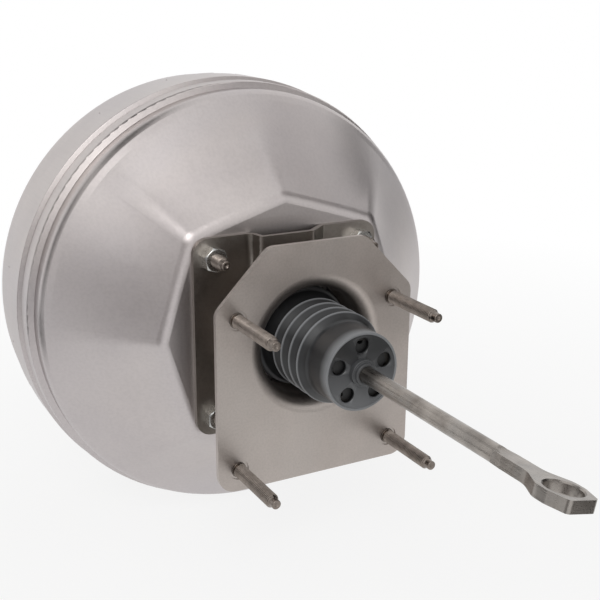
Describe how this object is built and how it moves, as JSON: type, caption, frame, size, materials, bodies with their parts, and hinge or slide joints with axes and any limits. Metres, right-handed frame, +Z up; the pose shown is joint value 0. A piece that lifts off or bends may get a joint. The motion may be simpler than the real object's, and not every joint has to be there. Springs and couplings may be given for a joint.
{
  "type": "brake booster",
  "caption": "Vacuum brake booster with a crimped steel shell, standoff bracket, mounting plate, dust boot and pedal push rod with a forged eye.",
  "frame": {"origin": "centre of the four firewall studs, on the rear face of the mounting plate", "axes": "+Y forward along the booster's axis to the master cylinder, -Y back to the pedal, +Z up; the booster's own axis lies 23 mm above the origin"},
  "size_m": [0.2842, 0.4489, 0.2842],
  "materials": {
    "plate_steel": "zinc-plated pressed steel, satin",
    "bracket_steel": "zinc-plated pressed steel, satin",
    "stud_steel": "plated fine thread, satin",
    "nut_zinc": "bright zinc",
    "shell_steel": "satin plated deep-drawn steel",
    "inner_steel": "bright pressed steel",
    "rod_steel": "satin plated bar",
    "spring_steel": "oiled spring wire",
    "seal_rubber": "moulded rubber",
    "diaphragm_rubber": "moulded rubber",
    "boot_rubber": "moulded rubber, satin",
    "bearing_plastic": "moulded plastic",
    "valve_plastic": "moulded glass-filled plastic",
    "body_plastic": "moulded phenolic plastic",
    "filter_felt": "open felt"
  },
  "bodies": {
    "housing": {"mounting_plate": "plate_steel", "standoff_bracket": "bracket_steel", "firewall_studs": "stud_steel", "shell_studs": "stud_steel", "bracket_nuts": "nut_zinc", "rear_shell": "shell_steel", "front_shell": "shell_steel", "front_stiffener": "inner_steel", "master_cylinder_studs": "stud_steel", "center_divider": "inner_steel", "divider_seal": "seal_rubber", "rear_seal": "seal_rubber", "rear_bearing": "bearing_plastic", "front_seal": "seal_rubber", "check_valve": "valve_plastic", "check_valve_grommet": "seal_rubber", "rear_diaphragm": "diaphragm_rubber", "front_diaphragm": "diaphragm_rubber", "return_spring": "spring_steel", "dust_boot": "boot_rubber"},
    "power_piston": {"valve_body": "body_plastic", "stop_key": "inner_steel", "rear_diaphragm_plate": "inner_steel", "front_diaphragm_plate": "inner_steel", "piston_retainer": "bearing_plastic", "reaction_disc": "seal_rubber", "output_rod": "rod_steel", "output_rod_tip": "rod_steel", "output_rod_retainer": "spring_steel", "poppet": "seal_rubber", "poppet_retainer": "inner_steel", "poppet_spring": "spring_steel", "rod_spring": "spring_steel", "air_filter": "filter_felt", "filter_retainer": "bearing_plastic"},
    "input_valve": {"air_valve": "rod_steel"},
    "rod_seat": {"rod_spring_seat": "inner_steel"},
    "push_rod": {"push_rod": "rod_steel"}
  },
  "joints": [
    {"name": "piston_travel", "type": "slide", "parent": "housing", "child": "power_piston", "axis": [0, 1, 0], "range_m": [0, 0.032], "stiffness_N_per_m": 4000, "springref_m": -0.03, "deforming": ["return_spring", "rear_diaphragm", "front_diaphragm", "dust_boot"]},
    {"name": "valve_travel", "type": "slide", "parent": "power_piston", "child": "input_valve", "axis": [0, 1, 0], "range_m": [0, 0.0015], "stiffness_N_per_m": 3000, "springref_m": -0.008, "deforming": ["rod_spring", "poppet", "poppet_spring", "dust_boot"]},
    {"name": "rod_tilt", "type": "hinge", "parent": "input_valve", "child": "rod_seat", "pos_m": [0, 0.038, 0.023], "axis": [1, 0, 0], "range_deg": [-3, 3], "stiffness_Nm_per_rad": 40, "deforming": ["rod_spring", "dust_boot", "air_filter"]},
    {"name": "rod_spin", "type": "hinge", "parent": "rod_seat", "child": "push_rod", "pos_m": [0, 0.038, 0.023], "axis": [0, 1, 0], "continuous": true}
  ]
}
